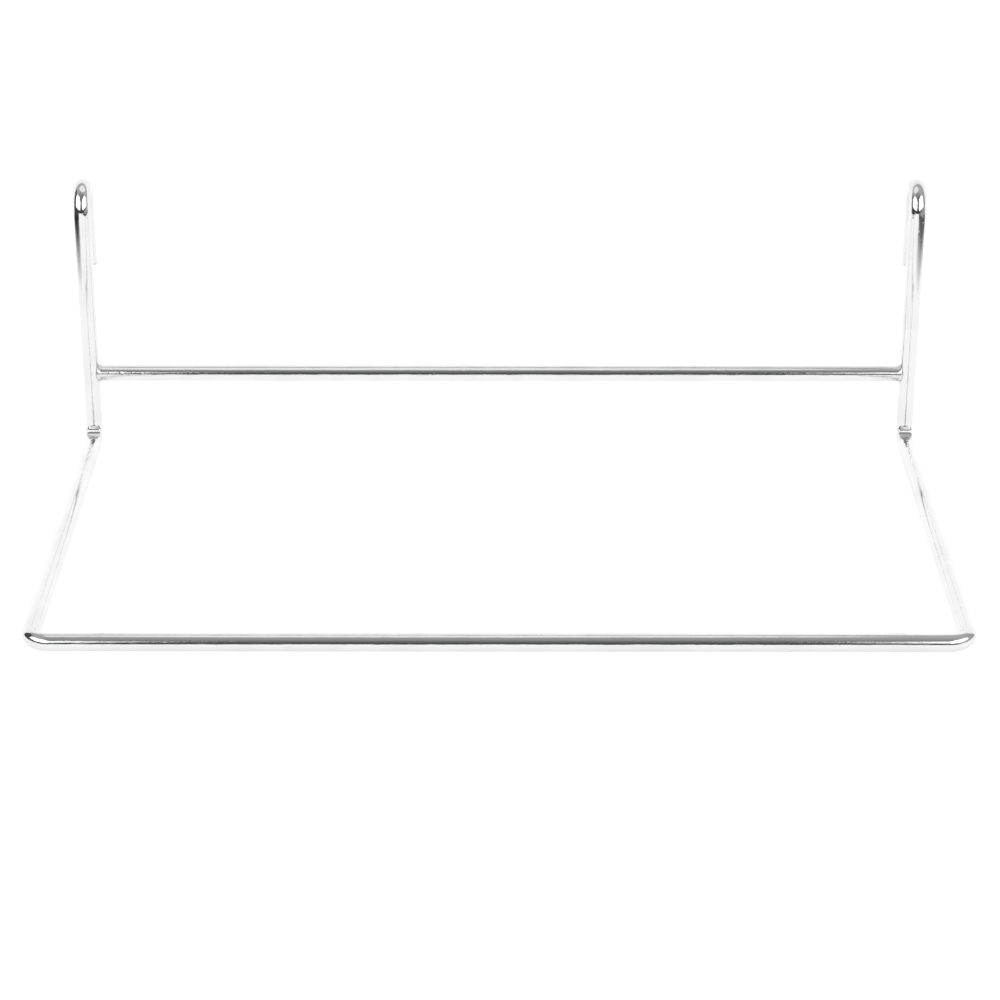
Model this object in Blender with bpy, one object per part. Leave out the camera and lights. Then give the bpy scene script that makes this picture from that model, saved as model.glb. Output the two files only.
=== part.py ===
"""Wire bag holder: a bent wire frame with two hooks, a welded crossbar and the two welds that hold it.

Units are metres and +Z is up. The holder stands on its bottom loop, with the origin on the
surface it stands on, under the middle of its box. +X is to the right, and the loop reaches
out towards -Y. Everything is symmetric about the plane x = 0.
"""

import math

import bmesh
import bpy
from mathutils import Vector

# Driving dimensions
OVERALL_WIDTH = 0.300
OVERALL_HEIGHT = 0.100
WIRE_DIAMETER = 0.006
LOOP_REACH = 0.1625  # from the legs' centrelines to the front bar's centreline
LOOP_CORNER_RADIUS = 0.0065  # centreline radius of the two front corners
FOOT_BEND_RADIUS = 0.008  # centreline radius where a leg turns into an arm of the loop
PIN_RADIUS = 0.003  # of the straight pin that a foot bend is formed on
PIN_DEPTH = 0.001  # how far the pin flattens the inside of the bend, at its middle
HOOK_SHOULDER_RADIUS = 0.0125  # the leg first leans back on this gentle curve
HOOK_SHOULDER_ANGLE = math.radians(36)
HOOK_CROWN_RADIUS = 0.0045  # then it turns over the rail on this tight one
HOOK_DROP = 0.0333  # from the top of the hook down to the tip of its tail
TIP_CHAMFER = 0.0006
CROSSBAR_HEIGHT = 0.026  # above the centreline of the loop's arms
WELD_LENGTH = 0.0012  # along the crossbar, measured from the leg's nearest point
WELD_FLARE = 0.001  # how far the weld spreads above and below the crossbar where it meets the leg
WELD_TUCK = 0.0008  # how far it draws in at the front and the back, to end on the leg's inner side
WELD_BITE = 0.001  # how far the uncut weld runs on past the leg's nearest point
FITTING_GAP = 0.0003  # between the faces of neighbouring pieces

# Fineness of the round shapes
WIRE_SIDES = 24
ARC_STEP = math.radians(12)  # an odd number of steps fits about the hook's top, so a facet lies flat there
BEND_STEP = math.radians(7.5)
WELD_RINGS = 6
CUTTER_SIDES = 96

# Worked out from the driving dimensions
WIRE_RADIUS = WIRE_DIAMETER / 2
LEG_X = OVERALL_WIDTH / 2 - WIRE_RADIUS
HOOK_CENTRE_OFFSET = HOOK_SHOULDER_RADIUS - HOOK_CROWN_RADIUS
HOOK_CENTRE_BACK = HOOK_SHOULDER_RADIUS - HOOK_CENTRE_OFFSET * math.cos(HOOK_SHOULDER_ANGLE)
TAIL_BACK = HOOK_CENTRE_BACK + HOOK_CROWN_RADIUS
LEG_Y = (LOOP_REACH - TAIL_BACK) / 2
FRONT_Y = LEG_Y - LOOP_REACH
LOOP_Z = WIRE_RADIUS
HOOK_CENTRE_Z = OVERALL_HEIGHT - WIRE_RADIUS - HOOK_CROWN_RADIUS
SHOULDER_Z = HOOK_CENTRE_Z - HOOK_CENTRE_OFFSET * math.sin(HOOK_SHOULDER_ANGLE)
CROSSBAR_Z = LOOP_Z + CROSSBAR_HEIGHT
PIN_SHIFT = (FOOT_BEND_RADIUS - WIRE_RADIUS + PIN_DEPTH - PIN_RADIUS) / math.sqrt(2)
PIN_Y = LEG_Y - FOOT_BEND_RADIUS + PIN_SHIFT
PIN_Z = LOOP_Z + FOOT_BEND_RADIUS - PIN_SHIFT
WELD_INNER_X = LEG_X - WIRE_RADIUS - WELD_LENGTH

CHROME_COLOUR = (0.80, 0.80, 0.81, 1.0)
WELD_COLOUR = (0.72, 0.72, 0.73, 1.0)


def clear_scene():
    for item in list(bpy.data.objects):
        bpy.data.objects.remove(item, do_unlink=True)


def chrome(name, colour, roughness):
    material = bpy.data.materials.new(name)
    material.use_nodes = True
    shader = material.node_tree.nodes["Principled BSDF"]
    shader.inputs["Base Color"].default_value = colour
    shader.inputs["Metallic"].default_value = 1.0
    shader.inputs["Roughness"].default_value = roughness
    material.diffuse_color = colour
    return material


def add_object(name, bm, material):
    """The bmesh as a named object with smooth round sides and crisp edges."""
    bmesh.ops.recalc_face_normals(bm, faces=bm.faces)
    mesh = bpy.data.meshes.new(name)
    bm.to_mesh(mesh)
    bm.free()
    mesh.materials.append(material)
    mesh.shade_smooth()
    mesh.set_sharp_from_angle(angle=math.radians(35))
    item = bpy.data.objects.new(name, mesh)
    bpy.context.scene.collection.objects.link(item)
    return item


def arc(centre, start, turn_towards, angle, step):
    """Stations (point, direction) along an arc whose first point is centre + start.

    start and turn_towards are at right angles and as long as the radius. The arc's own first
    and last points are both in the list.
    """
    count = max(1, round(angle / step))
    stations = []
    for i in range(count + 1):
        a = angle * i / count
        point = centre + start * math.cos(a) + turn_towards * math.sin(a)
        direction = turn_towards * math.cos(a) - start * math.sin(a)
        stations.append((point, direction.normalized()))
    return stations


def half_path():
    """The bent wire's centreline from the tip of the left tail to the left front corner."""
    x, back, up = Vector((-LEG_X, 0, 0)), Vector((0, 1, 0)), Vector((0, 0, 1))
    right = Vector((1, 0, 0))
    tail_y = LEG_Y + TAIL_BACK
    tip = x + back * tail_y + up * (OVERALL_HEIGHT - HOOK_DROP)

    crown_centre = x + back * (LEG_Y + HOOK_CENTRE_BACK) + up * HOOK_CENTRE_Z
    crown = arc(
        crown_centre,
        back * HOOK_CROWN_RADIUS,
        up * HOOK_CROWN_RADIUS,
        math.pi - HOOK_SHOULDER_ANGLE,
        ARC_STEP,
    )
    lean = math.pi - HOOK_SHOULDER_ANGLE
    outward = back * math.cos(lean) + up * math.sin(lean)
    onward = up * math.cos(lean) - back * math.sin(lean)
    shoulder = arc(
        x + back * (LEG_Y + HOOK_SHOULDER_RADIUS) + up * SHOULDER_Z,
        outward * HOOK_SHOULDER_RADIUS,
        onward * HOOK_SHOULDER_RADIUS,
        HOOK_SHOULDER_ANGLE,
        ARC_STEP / 2,
    )
    foot = arc(
        x + back * (LEG_Y - FOOT_BEND_RADIUS) + up * (LOOP_Z + FOOT_BEND_RADIUS),
        back * FOOT_BEND_RADIUS,
        -up * FOOT_BEND_RADIUS,
        math.pi / 2,
        BEND_STEP,
    )
    corner = arc(
        x + right * LOOP_CORNER_RADIUS + back * (FRONT_Y + LOOP_CORNER_RADIUS) + up * LOOP_Z,
        -right * LOOP_CORNER_RADIUS,
        -back * LOOP_CORNER_RADIUS,
        math.pi / 2,
        BEND_STEP,
    )
    return [(tip, up)] + crown + shoulder[1:] + foot + corner


def frame_path():
    """The whole centreline: the left half, then its mirror image walked the other way."""
    left = half_path()
    right = []
    for point, direction in reversed(left):
        mirrored_point = Vector((-point.x, point.y, point.z))
        mirrored_direction = Vector((direction.x, -direction.y, -direction.z))
        right.append((mirrored_point, mirrored_direction))
    return left + right


def wire_ring(bm, point, across, beside):
    """A polygon whose flats touch the ellipse with the half axes across and beside."""
    vertices = []
    corner = 1 / math.cos(math.pi / WIRE_SIDES)
    for i in range(WIRE_SIDES):
        a = 2 * math.pi * (i + 0.5) / WIRE_SIDES
        offset = across * math.cos(a) + beside * math.sin(a)
        vertices.append(bm.verts.new(point + offset * corner))
    return vertices


def bridge(bm, ring_a, ring_b):
    for i in range(len(ring_a)):
        j = (i + 1) % len(ring_a)
        bm.faces.new((ring_a[i], ring_a[j], ring_b[j], ring_b[i]))


def chamfer_ends(stations):
    """The stations with a radius each, and a chamfer at both ends."""
    first_point, first_direction = stations[0]
    last_point, last_direction = stations[-1]
    inner_first = first_point + first_direction * TIP_CHAMFER
    inner_last = last_point - last_direction * TIP_CHAMFER
    small = WIRE_RADIUS - TIP_CHAMFER
    route = [(first_point, first_direction, small), (inner_first, first_direction, WIRE_RADIUS)]
    route += [(point, direction, WIRE_RADIUS) for point, direction in stations[1:-1]]
    route += [(inner_last, last_direction, WIRE_RADIUS), (last_point, last_direction, small)]
    return route


def sweep_wire(bm, route, across):
    """A solid wire through every (point, direction, radius). across starts at right angles to it."""
    rings = []
    before = route[0][1]
    for point, direction, radius in route:
        across = before.rotation_difference(direction) @ across
        beside = direction.cross(across)
        rings.append(wire_ring(bm, point, across * radius, beside * radius))
        before = direction
    for ring_a, ring_b in zip(rings, rings[1:]):
        bridge(bm, ring_a, ring_b)
    bm.faces.new(rings[0])
    bm.faces.new(rings[-1])


def press_foot_bends(bm):
    """Flatten the inside of both foot bends against the forming pin, which lies along x."""
    for vertex in bm.verts:
        from_pin = Vector((0, vertex.co.y - PIN_Y, vertex.co.z - PIN_Z))
        if 0 < from_pin.length < PIN_RADIUS:
            vertex.co += from_pin.normalized() * (PIN_RADIUS - from_pin.length)


def make_bent_wire(material):
    bm = bmesh.new()
    sweep_wire(bm, chamfer_ends(frame_path()), Vector((1, 0, 0)))
    press_foot_bends(bm)
    return add_object("bent_wire_frame", bm, material)


def make_crossbar(material):
    """The bar between the welds, cut square at both ends, as the welds carry on its round side."""
    half_length = WELD_INNER_X - FITTING_GAP
    along = Vector((1, 0, 0))
    route = [(along * x, along, WIRE_RADIUS) for x in (-half_length, half_length)]
    bm = bmesh.new()
    sweep_wire(bm, route, Vector((0, 0, 1)))
    crossbar = add_object("crossbar", bm, material)
    crossbar.location = (0, LEG_Y, CROSSBAR_Z)
    return crossbar


def weld_profile():
    """Rings (distance towards the leg, half height, half depth) of a weld, along quarter ellipses."""
    rings = []
    flare_length = WELD_LENGTH - FITTING_GAP / 2
    for i in range(WELD_RINGS + 1):
        a = math.pi / 2 * i / WELD_RINGS
        spread = 1 - math.cos(a)
        half_height = WIRE_RADIUS + WELD_FLARE * spread
        half_depth = WIRE_RADIUS - WELD_TUCK * spread
        rings.append((flare_length * math.sin(a), half_height, half_depth))
    rings.append((WELD_LENGTH + WELD_BITE, WIRE_RADIUS + WELD_FLARE, WIRE_RADIUS - WELD_TUCK))
    return rings


def make_weld(name, side, material):
    """The weld at one end of the crossbar: flared up and down the leg, and hollowed to its side.

    side is -1 for the left leg and 1 for the right one.
    """
    along = Vector((side, 0, 0))
    up = Vector((0, 0, 1))
    beside = along.cross(up)
    bm = bmesh.new()
    rings = []
    for distance, half_height, half_depth in weld_profile():
        rings.append(wire_ring(bm, along * distance, up * half_height, beside * half_depth))
    for ring_a, ring_b in zip(rings, rings[1:]):
        bridge(bm, ring_a, ring_b)
    bm.faces.new(rings[0])
    bm.faces.new(rings[-1])
    weld = add_object(name, bm, material)
    weld.location = (side * WELD_INNER_X, LEG_Y, CROSSBAR_Z)

    cutter_bm = bmesh.new()
    bmesh.ops.create_cone(
        cutter_bm,
        cap_ends=True,
        segments=CUTTER_SIDES,
        radius1=WIRE_RADIUS + FITTING_GAP,
        radius2=WIRE_RADIUS + FITTING_GAP,
        depth=4 * WIRE_DIAMETER,
    )
    cutter = add_object(name + "_cutter", cutter_bm, material)
    cutter.location = (side * LEG_X, LEG_Y, CROSSBAR_Z)
    cutter.hide_render = True
    cutter.display_type = "WIRE"
    cut = weld.modifiers.new("leg_hollow", "BOOLEAN")
    cut.operation = "DIFFERENCE"
    cut.solver = "EXACT"
    cut.object = cutter
    return weld


def main():
    clear_scene()
    wire_chrome = chrome("chrome_wire", CHROME_COLOUR, 0.06)
    bar_chrome = chrome("chrome_crossbar", CHROME_COLOUR, 0.07)
    weld_chrome = chrome("chrome_weld", WELD_COLOUR, 0.2)
    make_bent_wire(wire_chrome)
    make_crossbar(bar_chrome)
    make_weld("weld_left", -1, weld_chrome)
    make_weld("weld_right", 1, weld_chrome)


main()
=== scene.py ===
import math

import bmesh
import bpy
from mathutils import Matrix, Vector


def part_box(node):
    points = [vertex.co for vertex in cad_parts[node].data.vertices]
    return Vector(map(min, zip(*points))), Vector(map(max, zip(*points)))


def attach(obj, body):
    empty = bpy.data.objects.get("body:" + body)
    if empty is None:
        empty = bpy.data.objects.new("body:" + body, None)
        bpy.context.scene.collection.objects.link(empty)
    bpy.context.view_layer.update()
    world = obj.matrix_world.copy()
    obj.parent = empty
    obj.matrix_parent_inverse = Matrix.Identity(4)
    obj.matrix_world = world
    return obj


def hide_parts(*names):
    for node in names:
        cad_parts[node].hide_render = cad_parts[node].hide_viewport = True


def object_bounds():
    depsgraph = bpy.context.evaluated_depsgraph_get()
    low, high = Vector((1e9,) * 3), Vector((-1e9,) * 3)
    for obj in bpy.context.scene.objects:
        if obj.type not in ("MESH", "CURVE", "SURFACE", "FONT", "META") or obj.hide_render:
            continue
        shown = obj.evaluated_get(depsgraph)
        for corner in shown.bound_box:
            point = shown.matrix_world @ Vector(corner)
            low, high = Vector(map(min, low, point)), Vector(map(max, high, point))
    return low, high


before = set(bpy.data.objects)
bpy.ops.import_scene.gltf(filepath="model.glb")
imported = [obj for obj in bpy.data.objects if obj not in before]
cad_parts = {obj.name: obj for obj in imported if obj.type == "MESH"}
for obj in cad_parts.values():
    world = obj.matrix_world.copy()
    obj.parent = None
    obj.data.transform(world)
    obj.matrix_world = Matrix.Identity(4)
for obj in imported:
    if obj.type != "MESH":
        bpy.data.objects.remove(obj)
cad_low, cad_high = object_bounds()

BODY = "root"

# Camera, in the part's frame
IMAGE_SIDE = 1000  # pixels
FOCAL_PIXELS = 2851.8
SENSOR_WIDTH = 36.0  # millimetres
CAMERA_PLACE = (0.0002, -0.8804, 0.4069)
CAMERA_PITCH = math.radians(24.108)  # below the horizon
CAMERA_ROLL = math.radians(0.043)

# The bends and the welds, as in the CAD unless a comment says otherwise
LOOP_CORNER_RADIUS = 0.0065
FOOT_BEND_RADIUS = 0.0080
PIN_RADIUS = 0.0030  # the pin that the foot bends are formed on, which leaves their inside flat across
PIN_DEPTH = 0.0010  # how far it flattens the inside of the bend, at its middle
HOOK_SHOULDER_RADIUS = 0.0125
HOOK_SHOULDER_ANGLE = math.radians(36)
HOOK_CROWN_RADIUS = 0.0045
HOOK_DROP = 0.0333
OVERALL_HEIGHT = 0.1
WELD_LENGTH = 0.0012
WELD_FLARE = 0.0009  # a little less than in the CAD
WELD_TUCK = 0.0008  # how far the weld draws in at the front and back, to the leg's round side

# Finer shapes that only the visual model has
WIRE_SIDES = 72
FINE_STEP = math.radians(2.5)
STRAIGHT_STEP = 0.0015
PRESSED_STEP = 0.0003  # next to a bend
PRESSED_REACH = 0.0045
TIP_ROUNDING = 0.0007
TIP_RINGS = 6
BEND_FLATTENING = 0.00012  # the outer side of a tight bend is pulled this much flatter
MARK_DEPTH = 0.00022  # dent left by the welding electrode on a leg's outer side
MARK_LENGTH = 0.0045
MARK_OFFSET = -0.0012  # of the dent's middle, from the crossbar's height
WELD_RINGS = 14
WELD_OVERLAP = 0.0004  # how far the weld carries on inside the leg
WELD_TURN = math.pi / 2  # the weld's profile is a quarter of an ellipse
SHARP_EDGE = math.radians(40)

# Wear on the inside of the hooks, where they rub on a rail
RUBBED_FROM = 0.088
RUBBED_FADE = 0.004

# Look of the plate
PLACE_STRETCH = 12  # how far the draw lines' pattern moves on per metre of wire
PLATE_COLOUR = (0.80, 0.80, 0.805, 1.0)
PLATE_STREAKS = 1.0
PLATE_CLOUDING = 0.06
WIRE_ROUGHNESS = 0.05
CROSSBAR_ROUGHNESS = 0.055
CLOUD_SCALE = 70
LINE_SCALE = 9
SCUFF_SCALE = 420
SCUFF_PATCH_SCALE = 24
SCUFF_ROUGHNESS = 0.10
WEAR_ROUGHNESS = 0.12
SCUFF_DEPTH = 0.8
LINE_DEPTH = 0.00002
WELD_DARK = (0.66, 0.66, 0.67, 1)
WELD_LIGHT = (0.78, 0.78, 0.79, 1)
WELD_LUMP_SCALE = 900
WELD_LUMP_STRENGTH = 0.7
WELD_LUMP_DEPTH = 0.00004

# Floor and light
DAYLIGHT = 1.35  # the even light that falls on the floor
FLOOR_COLOUR = 0.30
FLOOR_GLOW = 0.75  # the floor is lit from below as well, as on a light table
FLOOR_BLEACH = 0.35  # more of it straight to the camera, so that no shadow shows
FLOOR_REACH = 4.0
FLOOR_DROP = 0.0002  # below the object, so that the two never share a plane

SOFTBOX_OUTLINE = (  # of the right one, from its low inner corner on
    (0.45, -1.18, 0.24),
    (1.20, -0.12, 0.20),
    (1.20, -0.12, 0.72),
    (0.70, -0.80, 0.98),
    (0.48, -1.15, 1.02),
    (0.335, -1.34, 0.85),
    (0.335, -1.34, 0.42),
)
SOFTBOX_LIGHT = 1.9
TOP_LIGHT_CENTRE = (-0.045, 0.012, 0.40)
TOP_LIGHT_WIDE = 0.22  # half of its width
TOP_LIGHT_DEEP = 0.118
TOP_LIGHT = 0.98
TOP_LIGHT_CORNERS = 48
CEILING_X = 0.7
CEILING_FRONT = -0.15
CEILING_BACK = 0.22
CEILING_Z = 0.405
CEILING_GREY = 0.48
WALL_X = 0.56
WALL_BACK = 0.16
WALL_FRONT = -0.07
WALL_HIGH = 0.42
WALL_GREY_LEFT = 0.07
WALL_GREY_RIGHT = 0.42
LOW_WALL_FRONT = -0.60  # the cards carry on this far to the front, but low
LOW_WALL_HIGH = 0.13

# The white floor ends at both sides. Each step has the point where it starts to fade and the point
# where it is dark, and the steps go from the back to the front.
SURROUND_Z = 0.0008
SURROUND_REACH = 8.0
FLOOR_LEVEL = 1.1
SURROUND_LEFT = 0.04
SURROUND_RIGHT = 0.13
FLOOR_EDGE_LEFT = (
    ((-0.33, 0.18), (-0.41, 0.18)),
    ((-0.33, 0.07), (-0.41, 0.07)),
    ((-0.255, -0.11), (-0.32, -0.15)),
    ((-0.40, -0.45), (-0.50, -0.50)),
    ((-1.50, -2.50), (-1.80, -2.50)),
)
FLOOR_EDGE_RIGHT = (
    ((0.33, 0.18), (0.41, 0.18)),
    ((0.33, 0.07), (0.41, 0.07)),
    ((0.26, -0.06), (0.33, -0.10)),
    ((0.185, -0.13), (0.225, -0.20)),
    ((0.21, -0.50), (0.26, -0.55)),
    ((0.50, -2.50), (0.62, -2.50)),
)

# Grey level of the dark studio, by the angle up from the camera's side and over to the back
STUDIO_ANGLES = (
    (0, 0.06),
    (12, 0.09),
    (25, 0.14),
    (38, 0.20),
    (50, 0.30),
    (62, 0.36),
    (78, 0.38),
    (98, 0.62),
    (112, 0.95),
    (130, 1.08),
    (180, 1.20),
)


def read_frame():
    """The sizes and places that the pieces share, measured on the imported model."""
    bar_low, bar_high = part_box("crossbar")
    radius = (bar_high.z - bar_low.z) / 2
    return {
        "radius": radius,
        "leg_x": cad_high.x - radius,
        "leg_y": (bar_low.y + bar_high.y) / 2,
        "front_y": cad_low.y + radius,
        "loop_z": cad_low.z + radius,
        "bar_z": (bar_low.z + bar_high.z) / 2,
        "crown_z": cad_high.z - radius - HOOK_CROWN_RADIUS,
        "tip_z": cad_low.z + OVERALL_HEIGHT - HOOK_DROP,
    }


# ---------------------------------------------------------------- camera, floor and light


def make_camera():
    data = bpy.data.cameras.new("camera")
    data.sensor_width = SENSOR_WIDTH
    data.lens = FOCAL_PIXELS * SENSOR_WIDTH / IMAGE_SIDE
    data.clip_start = 0.01
    data.clip_end = 50
    camera = bpy.data.objects.new("camera", data)
    bpy.context.scene.collection.objects.link(camera)
    tilt = Matrix.Rotation(math.pi / 2 - CAMERA_PITCH, 4, "X")
    roll = Matrix.Rotation(CAMERA_ROLL, 4, "Z")
    camera.matrix_world = Matrix.Translation(CAMERA_PLACE) @ tilt @ roll
    bpy.context.scene.camera = camera


def stage_panel(name, corners, material, reflections_only):
    """A flat stage panel through the corners."""
    mesh = bpy.data.meshes.new(name)
    mesh.from_pydata([Vector(c) for c in corners], [], [range(len(corners))])
    add_panel(name, mesh, material, reflections_only)


def add_panel(name, mesh, material, reflections_only):
    """A stage panel. One for reflections only is seen in the chrome alone."""
    mesh.materials.append(material)
    panel = bpy.data.objects.new(name, mesh)
    bpy.context.scene.collection.objects.link(panel)
    if reflections_only:
        panel.visible_camera = False
        panel.visible_diffuse = False
        panel.visible_shadow = False
        panel.visible_transmission = False
        panel.visible_volume_scatter = False


def new_material(name):
    material = bpy.data.materials.new(name)
    material.use_nodes = True
    material.node_tree.nodes.clear()
    return material


def link(tree, source, target):
    tree.links.new(source, target)


def math_node(tree, operation, first, second=None, clamp=False):
    node = tree.nodes.new("ShaderNodeMath")
    node.operation = operation
    node.use_clamp = clamp
    for socket, value in zip(node.inputs, (first, second)):
        if value is None:
            continue
        if isinstance(value, (int, float)):
            socket.default_value = value
        else:
            link(tree, value, socket)
    return node.outputs[0]


def smooth_range(tree, value, low, high, to_low=0.0, to_high=1.0):
    node = tree.nodes.new("ShaderNodeMapRange")
    node.interpolation_type = "SMOOTHSTEP"
    node.inputs["From Min"].default_value = low
    node.inputs["From Max"].default_value = high
    node.inputs["To Min"].default_value = to_low
    node.inputs["To Max"].default_value = to_high
    link(tree, value, node.inputs["Value"])
    return node.outputs["Result"]


def grey(value):
    return (value, value, value, 1.0)


def make_floor():
    material = new_material("pale_floor")
    tree = material.node_tree
    shader = tree.nodes.new("ShaderNodeBsdfDiffuse")
    shader.inputs["Color"].default_value = grey(FLOOR_COLOUR)
    path = tree.nodes.new("ShaderNodeLightPath")
    bleach = math_node(tree, "MULTIPLY", path.outputs["Is Camera Ray"], FLOOR_BLEACH)
    glow_node = tree.nodes.new("ShaderNodeEmission")
    link(tree, math_node(tree, "ADD", bleach, FLOOR_GLOW), glow_node.inputs["Strength"])
    material.cycles.emission_sampling = "NONE"
    both = tree.nodes.new("ShaderNodeAddShader")
    link(tree, shader.outputs[0], both.inputs[0])
    link(tree, glow_node.outputs[0], both.inputs[1])
    out = tree.nodes.new("ShaderNodeOutputMaterial")
    link(tree, both.outputs[0], out.inputs["Surface"])
    r = FLOOR_REACH
    z = cad_low.z - FLOOR_DROP
    stage_panel("floor", [(-r, -r, z), (r, -r, z), (r, r, z), (-r, r, z)], material, False)


def glow(name, strength):
    material = new_material(name)
    tree = material.node_tree
    shader = tree.nodes.new("ShaderNodeEmission")
    shader.inputs["Strength"].default_value = strength
    material.cycles.emission_sampling = "NONE"
    out = tree.nodes.new("ShaderNodeOutputMaterial")
    link(tree, shader.outputs[0], out.inputs["Surface"])
    return material


def to_side(corner, side):
    return (corner[0] * side, corner[1], corner[2])


def make_softboxes():
    light = glow("softbox_light", SOFTBOX_LIGHT)
    for name, side in (("softbox_left", -1), ("softbox_right", 1)):
        stage_panel(name, [to_side(corner, side) for corner in SOFTBOX_OUTLINE], light, True)


def make_top_light():
    """An oval light overhead, in a darker ceiling that ends a little way behind the hooks."""
    corners = []
    middle = Vector(TOP_LIGHT_CENTRE)
    for i in range(TOP_LIGHT_CORNERS):
        a = 2 * math.pi * i / TOP_LIGHT_CORNERS
        corners.append(middle + Vector((TOP_LIGHT_WIDE * math.cos(a), TOP_LIGHT_DEEP * math.sin(a), 0)))
    stage_panel("top_light", corners, glow("top_light", TOP_LIGHT), True)
    x, z = CEILING_X, CEILING_Z
    front, back = CEILING_FRONT, CEILING_BACK
    ceiling = [(-x, front, z), (x, front, z), (x, back, z), (-x, back, z)]
    stage_panel("ceiling", ceiling, glow("ceiling", CEILING_GREY), True)


def make_walls():
    """Upright cards at both sides, which put the dark and grey edges into the chrome."""
    back, high = WALL_BACK, WALL_HIGH
    front, low = LOW_WALL_FRONT, LOW_WALL_HIGH
    for name, x, level in (("left", -WALL_X, WALL_GREY_LEFT), ("right", WALL_X, WALL_GREY_RIGHT)):
        outline = [(back, 0), (back, high), (WALL_FRONT, high), (WALL_FRONT, low), (front, low), (front, 0)]
        corners = [(x, y, z) for y, z in outline]
        stage_panel("wall_" + name, corners, glow("wall_" + name, level), True)


def studio_floor_material():
    material = new_material("studio_floor")
    tree = material.node_tree
    shade = tree.nodes.new("ShaderNodeAttribute")
    shade.attribute_name = "level"
    shader = tree.nodes.new("ShaderNodeEmission")
    link(tree, shade.outputs["Fac"], shader.inputs["Strength"])
    material.cycles.emission_sampling = "NONE"
    out = tree.nodes.new("ShaderNodeOutputMaterial")
    link(tree, shader.outputs[0], out.inputs["Surface"])
    return material


def make_surround(name, edge, dark, material):
    """The dark studio floor at one side, fading in along the edge. Only the chrome sees it."""
    bm = bmesh.new()
    level_layer = bm.verts.layers.float.new("level")
    rows = []
    for bright_point, dark_point in edge:
        far_point = (math.copysign(SURROUND_REACH, dark_point[0]), dark_point[1])
        row = []
        for point, level in ((bright_point, FLOOR_LEVEL), (dark_point, dark), (far_point, dark)):
            vertex = bm.verts.new((point[0], point[1], SURROUND_Z))
            vertex[level_layer] = level
            row.append(vertex)
        rows.append(row)
    for row, next_row in zip(rows, rows[1:]):
        for k in range(2):
            bm.faces.new((row[k], row[k + 1], next_row[k + 1], next_row[k]))
    mesh = bpy.data.meshes.new(name)
    bm.to_mesh(mesh)
    bm.free()
    add_panel(name, mesh, material, True)


def make_world():
    """An even soft light on the floor, with a darker studio in front that only the chrome mirrors."""
    world = bpy.data.worlds.new("studio")
    bpy.context.scene.world = world
    world.use_nodes = True
    world.cycles.sampling_method = "NONE"
    tree = world.node_tree
    tree.nodes.clear()
    place = tree.nodes.new("ShaderNodeTexCoord")
    split = tree.nodes.new("ShaderNodeSeparateXYZ")
    link(tree, place.outputs["Generated"], split.inputs[0])
    forward = math_node(tree, "MULTIPLY", split.outputs["Y"], -1.0)
    angle = math_node(tree, "ARCTAN2", split.outputs["Z"], forward)
    share = math_node(tree, "DIVIDE", angle, math.pi, clamp=True)
    ramp = tree.nodes.new("ShaderNodeValToRGB")
    stops = ramp.color_ramp.elements
    while len(stops) < len(STUDIO_ANGLES):
        stops.new(0.5)
    for stop, (degrees, level) in zip(stops, STUDIO_ANGLES):
        stop.position = degrees / 180
        stop.color = grey(level)
    link(tree, share, ramp.inputs["Fac"])

    path = tree.nodes.new("ShaderNodeLightPath")
    pick = tree.nodes.new("ShaderNodeMix")
    pick.data_type = "RGBA"
    link(tree, path.outputs["Is Glossy Ray"], pick.inputs["Factor"])
    colour_inputs = [s for s in pick.inputs if s.type == "RGBA"]
    colour_inputs[0].default_value = grey(DAYLIGHT)
    link(tree, ramp.outputs["Color"], colour_inputs[1])
    background = tree.nodes.new("ShaderNodeBackground")
    colour_output = [s for s in pick.outputs if s.type == "RGBA"][0]
    link(tree, colour_output, background.inputs["Color"])
    out = tree.nodes.new("ShaderNodeOutputWorld")
    link(tree, background.outputs[0], out.inputs["Surface"])


# ---------------------------------------------------------------- materials


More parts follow.
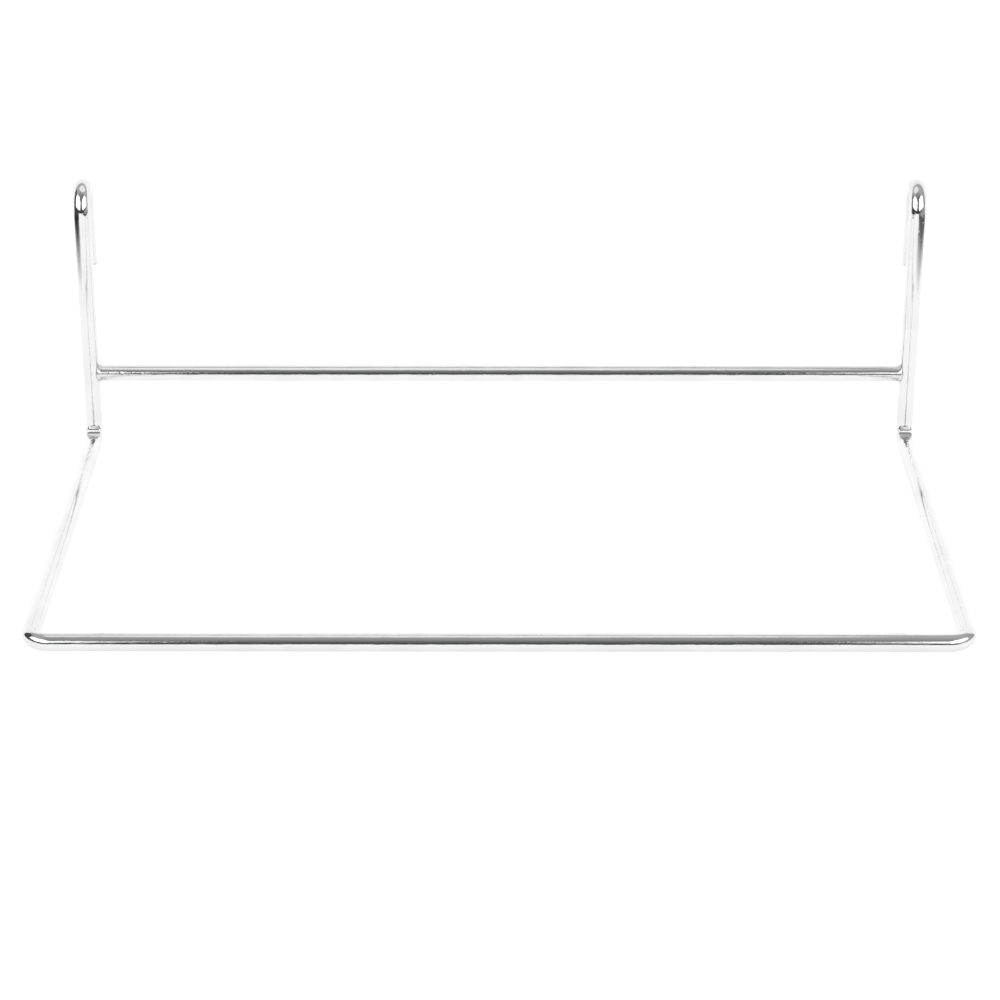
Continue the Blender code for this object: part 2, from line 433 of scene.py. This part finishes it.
def chrome(name, colour, roughness, streaks, clouding):
    """Bright plated steel with fine draw lines along the wire, faint clouding and light scuffs."""
    material = new_material(name)
    tree = material.node_tree
    shader = tree.nodes.new("ShaderNodeBsdfPrincipled")
    shader.inputs["Metallic"].default_value = 1.0
    out = tree.nodes.new("ShaderNodeOutputMaterial")
    link(tree, shader.outputs[0], out.inputs["Surface"])

    along = tree.nodes.new("ShaderNodeAttribute")
    along.attribute_name = "wire_place"
    wear = tree.nodes.new("ShaderNodeAttribute")
    wear.attribute_name = "wear"
    place = tree.nodes.new("ShaderNodeTexCoord")

    cloud = tree.nodes.new("ShaderNodeTexNoise")
    cloud.inputs["Scale"].default_value = CLOUD_SCALE
    cloud.inputs["Detail"].default_value = 3
    link(tree, place.outputs["Object"], cloud.inputs["Vector"])

    lines = tree.nodes.new("ShaderNodeTexNoise")
    lines.inputs["Scale"].default_value = LINE_SCALE
    lines.inputs["Detail"].default_value = 4
    lines.inputs["Roughness"].default_value = 0.65
    link(tree, along.outputs["Vector"], lines.inputs["Vector"])

    scuff = tree.nodes.new("ShaderNodeTexNoise")
    scuff.inputs["Scale"].default_value = SCUFF_SCALE
    scuff.inputs["Detail"].default_value = 2
    link(tree, place.outputs["Object"], scuff.inputs["Vector"])
    patch = tree.nodes.new("ShaderNodeTexNoise")
    patch.inputs["Scale"].default_value = SCUFF_PATCH_SCALE
    patch.inputs["Detail"].default_value = 1
    link(tree, place.outputs["Object"], patch.inputs["Vector"])
    in_patch = smooth_range(tree, patch.outputs["Fac"], 0.55, 0.68)
    scuffed = smooth_range(tree, scuff.outputs["Fac"], 0.58, 0.68)
    scuffs = math_node(tree, "MULTIPLY", in_patch, scuffed)

    haze = smooth_range(tree, cloud.outputs["Fac"], 0.40, 0.75)
    draw = smooth_range(tree, lines.outputs["Fac"], 0.35, 0.75)

    tint = tree.nodes.new("ShaderNodeValToRGB")
    tint.color_ramp.elements[0].color = colour
    tint.color_ramp.elements[1].color = tuple(c * (1 - clouding) for c in colour[:3]) + (1.0,)
    link(tree, haze, tint.inputs["Fac"])
    link(tree, tint.outputs["Color"], shader.inputs["Base Color"])

    rough = math_node(tree, "MULTIPLY", haze, 0.35 * roughness)
    rough = math_node(tree, "ADD", rough, math_node(tree, "MULTIPLY", draw, 0.5 * roughness))
    rough = math_node(tree, "ADD", rough, math_node(tree, "MULTIPLY", scuffs, SCUFF_ROUGHNESS))
    rough = math_node(tree, "ADD", rough, math_node(tree, "MULTIPLY", wear.outputs["Fac"], WEAR_ROUGHNESS))
    rough = math_node(tree, "ADD", rough, 0.6 * roughness)
    link(tree, rough, shader.inputs["Roughness"])

    height = math_node(tree, "MULTIPLY", lines.outputs["Fac"], streaks)
    scratches = math_node(tree, "MULTIPLY", scuffs, SCUFF_DEPTH * streaks)
    height = math_node(tree, "SUBTRACT", height, scratches)
    bump = tree.nodes.new("ShaderNodeBump")
    bump.inputs["Strength"].default_value = 1.0
    bump.inputs["Distance"].default_value = LINE_DEPTH
    link(tree, height, bump.inputs["Height"])
    link(tree, bump.outputs["Normal"], shader.inputs["Normal"])
    return material


def weld_chrome():
    """Plate over a resistance weld: duller, and slightly uneven."""
    material = new_material("weld_plate")
    tree = material.node_tree
    shader = tree.nodes.new("ShaderNodeBsdfPrincipled")
    shader.inputs["Metallic"].default_value = 1.0
    out = tree.nodes.new("ShaderNodeOutputMaterial")
    link(tree, shader.outputs[0], out.inputs["Surface"])
    place = tree.nodes.new("ShaderNodeTexCoord")
    lumps = tree.nodes.new("ShaderNodeTexNoise")
    lumps.inputs["Scale"].default_value = WELD_LUMP_SCALE
    lumps.inputs["Detail"].default_value = 3
    link(tree, place.outputs["Object"], lumps.inputs["Vector"])
    tint = tree.nodes.new("ShaderNodeValToRGB")
    tint.color_ramp.elements[0].position = 0.3
    tint.color_ramp.elements[0].color = WELD_DARK
    tint.color_ramp.elements[1].position = 0.7
    tint.color_ramp.elements[1].color = WELD_LIGHT
    link(tree, lumps.outputs["Fac"], tint.inputs["Fac"])
    link(tree, tint.outputs["Color"], shader.inputs["Base Color"])
    rough = smooth_range(tree, lumps.outputs["Fac"], 0.3, 0.7, 0.16, 0.26)
    link(tree, rough, shader.inputs["Roughness"])
    bump = tree.nodes.new("ShaderNodeBump")
    bump.inputs["Strength"].default_value = WELD_LUMP_STRENGTH
    bump.inputs["Distance"].default_value = WELD_LUMP_DEPTH
    link(tree, lumps.outputs["Fac"], bump.inputs["Height"])
    link(tree, bump.outputs["Normal"], shader.inputs["Normal"])
    return material


# ---------------------------------------------------------------- wire shapes


def arc(centre, start, turn_towards, angle, bend_out):
    """Stations (point, direction, outer side) along an arc, finely stepped."""
    count = max(1, round(angle / FINE_STEP))
    stations = []
    for i in range(count + 1):
        a = angle * i / count
        point = centre + start * math.cos(a) + turn_towards * math.sin(a)
        direction = (turn_towards * math.cos(a) - start * math.sin(a)).normalized()
        outer = (point - centre).normalized()
        pull = bend_out * math.sin(math.pi * i / count)
        stations.append((point, direction, outer, pull))
    return stations


def straight(start, end):
    """Stations between two points, without the points themselves, closer together near both ends."""
    length = (end - start).length
    direction = (end - start).normalized()
    near = [PRESSED_STEP * i for i in range(1, round(PRESSED_REACH / PRESSED_STEP) + 1)]
    middle = length - 2 * PRESSED_REACH
    count = max(1, round(middle / STRAIGHT_STEP))
    far = [PRESSED_REACH + middle * i / count for i in range(1, count)]
    places = near + far + [length - place for place in reversed(near)]
    return [(start + direction * place, direction, direction, 0.0) for place in places]


def half_path(size):
    """The bent wire's centreline from the tip of the left tail to the left front corner."""
    back, up, right = Vector((0, 1, 0)), Vector((0, 0, 1)), Vector((1, 0, 0))
    x = -right * size["leg_x"]
    leg_y, front_y, loop_z = size["leg_y"], size["front_y"], size["loop_z"]
    offset = HOOK_SHOULDER_RADIUS - HOOK_CROWN_RADIUS
    lean = math.pi - HOOK_SHOULDER_ANGLE
    centre_back = HOOK_SHOULDER_RADIUS - offset * math.cos(HOOK_SHOULDER_ANGLE)
    shoulder_z = size["crown_z"] - offset * math.sin(HOOK_SHOULDER_ANGLE)
    tail_y = leg_y + centre_back + HOOK_CROWN_RADIUS

    tip = x + back * tail_y + up * size["tip_z"]
    crown = arc(
        x + back * (leg_y + centre_back) + up * size["crown_z"],
        back * HOOK_CROWN_RADIUS,
        up * HOOK_CROWN_RADIUS,
        lean,
        0.0,
    )
    outward = back * math.cos(lean) + up * math.sin(lean)
    onward = up * math.cos(lean) - back * math.sin(lean)
    shoulder = arc(
        x + back * (leg_y + HOOK_SHOULDER_RADIUS) + up * shoulder_z,
        outward * HOOK_SHOULDER_RADIUS,
        onward * HOOK_SHOULDER_RADIUS,
        HOOK_SHOULDER_ANGLE,
        0.0,
    )
    foot = arc(
        x + back * (leg_y - FOOT_BEND_RADIUS) + up * (loop_z + FOOT_BEND_RADIUS),
        back * FOOT_BEND_RADIUS,
        -up * FOOT_BEND_RADIUS,
        math.pi / 2,
        BEND_FLATTENING,
    )
    corner = arc(
        x + right * LOOP_CORNER_RADIUS + back * (front_y + LOOP_CORNER_RADIUS) + up * loop_z,
        -right * LOOP_CORNER_RADIUS,
        -back * LOOP_CORNER_RADIUS,
        math.pi / 2,
        BEND_FLATTENING,
    )
    stations = [(tip, up, up, 0.0)] + straight(tip, crown[0][0]) + crown + shoulder[1:]
    stations += straight(shoulder[-1][0], foot[0][0]) + foot
    stations += straight(foot[-1][0], corner[0][0]) + corner
    return stations


def mirrored(station):
    point, direction, outer, pull = station
    return (
        Vector((-point.x, point.y, point.z)),
        Vector((direction.x, -direction.y, -direction.z)),
        Vector((-outer.x, outer.y, outer.z)),
        pull,
    )


def frame_path(size):
    left = half_path(size)
    right = [mirrored(station) for station in reversed(left)]
    return left + straight(left[-1][0], right[0][0]) + right


def rounded_tip(station, radius, forwards):
    """Rings that round off a cut end, in walking order. forwards is 1 at the start, -1 at the end."""
    point, direction, outer, _ = station
    rings = []
    for i in range(TIP_RINGS + 1):
        a = math.pi / 2 * i / TIP_RINGS
        inset = TIP_ROUNDING * (1 - math.sin(a))
        small = radius - TIP_ROUNDING * (1 - math.cos(a))
        rings.append((point + direction * inset * forwards, direction, outer, 0.0, small))
    return rings[::-1] if forwards > 0 else rings


def sweep(name, route, across, reshaped):
    """A closed wire mesh through every (point, direction, outer side, pull, radius) of the route.

    It carries two attributes: wire_place, which the draw lines follow, and wear.
    reshaped(spot, offset) gives the place that a point of the round surface ends up at.
    """
    bm = bmesh.new()
    place_layer = bm.verts.layers.float_vector.new("wire_place")
    wear_layer = bm.verts.layers.float.new("wear")
    rings = []
    before = route[0][1]
    last_point = route[0][0]
    travelled = 0.0
    for point, direction, outer, pull, radius in route:
        across = before.rotation_difference(direction) @ across
        beside = direction.cross(across)
        travelled += (point - last_point).length
        ring = []
        for i in range(WIRE_SIDES):
            a = 2 * math.pi * i / WIRE_SIDES
            offset = across * math.cos(a) + beside * math.sin(a)
            flat = max(0.0, offset.dot(outer)) ** 2 * pull
            spot = point + offset * (radius - flat)
            spot = reshaped(spot, offset)
            vertex = bm.verts.new(spot)
            vertex[place_layer] = Vector((travelled * PLACE_STRETCH, math.cos(a), math.sin(a)))
            vertex[wear_layer] = rail_wear(spot, offset, direction)
            ring.append(vertex)
        rings.append(ring)
        before = direction
        last_point = point
    for ring_a, ring_b in zip(rings, rings[1:]):
        for i in range(WIRE_SIDES):
            j = (i + 1) % WIRE_SIDES
            bm.faces.new((ring_a[i], ring_a[j], ring_b[j], ring_b[i]))
    bm.faces.new(rings[0])
    bm.faces.new(rings[-1])
    return finish_mesh(name, bm)


def rail_wear(spot, offset, direction):
    """Rubbing on the inside of the hooks, where they hang on a rail."""
    high = max(0.0, min(1.0, (spot.z - RUBBED_FROM) / RUBBED_FADE))
    return high * max(0.0, -offset.z) ** 2


def finish_mesh(name, bm):
    bmesh.ops.recalc_face_normals(bm, faces=bm.faces)
    mesh = bpy.data.meshes.new(name)
    bm.to_mesh(mesh)
    bm.free()
    mesh.shade_smooth()
    mesh.set_sharp_from_angle(angle=SHARP_EDGE)
    piece = bpy.data.objects.new(name, mesh)
    bpy.context.scene.collection.objects.link(piece)
    return piece


def make_bent_wire(size, material):
    radius = size["radius"]

    def electrode_mark(spot, offset):
        """A shallow dent on the outer side of each leg, opposite the crossbar."""
        side = max(0.0, offset.x * math.copysign(1.0, spot.x))
        away = abs(spot.z - size["bar_z"] - MARK_OFFSET) / (MARK_LENGTH / 2)
        if away >= 1 or abs(spot.y - size["leg_y"]) > 2 * radius:
            return 0.0
        return MARK_DEPTH * side**3 * (1 - away**4)

    shift = (FOOT_BEND_RADIUS - radius + PIN_DEPTH - PIN_RADIUS) / math.sqrt(2)
    pin_y = size["leg_y"] - FOOT_BEND_RADIUS + shift
    pin_z = size["loop_z"] + FOOT_BEND_RADIUS - shift

    def pressed(spot, offset):
        """The foot bends are pressed onto the forming pin, and the legs dented by the electrode."""
        spot = spot - offset * electrode_mark(spot, offset)
        from_pin = Vector((0, spot.y - pin_y, spot.z - pin_z))
        if 0 < from_pin.length < PIN_RADIUS:
            spot += from_pin.normalized() * (PIN_RADIUS - from_pin.length)
        return spot

    path = frame_path(size)
    # The path's stations within TIP_ROUNDING of an end are kept, so they overlap the rounded tip.
    route = rounded_tip(path[0], radius, 1)
    route += [station + (radius,) for station in path[1:-1]]
    route += rounded_tip(path[-1], radius, -1)
    piece = sweep("wire_loop_and_hooks", route, Vector((1, 0, 0)), pressed)
    piece.data.materials.append(material)
    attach(piece, BODY)
    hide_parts("bent_wire_frame")


def make_crossbar(size, material):
    radius = size["radius"]
    half = size["leg_x"] - radius - WELD_LENGTH / 2
    start = Vector((-half, size["leg_y"], size["bar_z"]))
    end = Vector((half, size["leg_y"], size["bar_z"]))
    along = Vector((1, 0, 0))
    path = [(start, along, along, 0.0)] + straight(start, end) + [(end, along, along, 0.0)]
    route = [station + (radius,) for station in path]
    piece = sweep("crossbar_rod", route, Vector((0, 0, 1)), lambda spot, offset: spot)
    piece.data.materials.append(material)
    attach(piece, BODY)
    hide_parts("crossbar")


def make_weld(size, side, name, node, material):
    """The small collar of weld metal that runs from the crossbar onto the round side of a leg."""
    radius = size["radius"]
    bm = bmesh.new()
    rings = []
    for k in range(WELD_RINGS + 2):
        a = WELD_TURN * min(1.0, k / WELD_RINGS)
        sunk = WELD_OVERLAP if k > WELD_RINGS else 0.0
        ring = []
        for i in range(WIRE_SIDES):
            phi = 2 * math.pi * i / WIRE_SIDES
            up, beside = math.cos(phi), math.sin(phi)
            high = up * (radius + WELD_FLARE * (1 - math.cos(a)))
            deep = beside * (radius - WELD_TUCK * (1 - math.cos(a)))
            last_deep = beside * (radius - WELD_TUCK)
            leg_side = math.sqrt(radius**2 - last_deep**2)
            length = WELD_LENGTH + radius - leg_side
            x = size["leg_x"] - radius - WELD_LENGTH + length * math.sin(a) + sunk
            ring.append(bm.verts.new((side * x, size["leg_y"] + deep, size["bar_z"] + high)))
        rings.append(ring)
    for ring_a, ring_b in zip(rings, rings[1:]):
        for i in range(WIRE_SIDES):
            j = (i + 1) % WIRE_SIDES
            bm.faces.new((ring_a[i], ring_a[j], ring_b[j], ring_b[i]))
    bm.faces.new(rings[0])
    bm.faces.new(rings[-1])
    piece = finish_mesh(name, bm)
    piece.data.materials.append(material)
    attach(piece, BODY)
    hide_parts(node)


def main():
    bpy.context.scene.view_settings.view_transform = "Standard"
    make_camera()
    make_world()
    make_floor()
    make_softboxes()
    make_top_light()
    make_walls()
    studio_floor = studio_floor_material()
    make_surround("surround_left", FLOOR_EDGE_LEFT, SURROUND_LEFT, studio_floor)
    make_surround("surround_right", FLOOR_EDGE_RIGHT, SURROUND_RIGHT, studio_floor)

    size = read_frame()
    wire = chrome("chrome_wire", PLATE_COLOUR, WIRE_ROUGHNESS, PLATE_STREAKS, PLATE_CLOUDING)
    bar = chrome(
        "chrome_crossbar", PLATE_COLOUR, CROSSBAR_ROUGHNESS, PLATE_STREAKS, PLATE_CLOUDING
    )
    make_bent_wire(size, wire)
    make_crossbar(size, bar)
    weld = weld_chrome()
    make_weld(size, -1, "weld_bead_left", "weld_left", weld)
    make_weld(size, 1, "weld_bead_right", "weld_right", weld)


main()
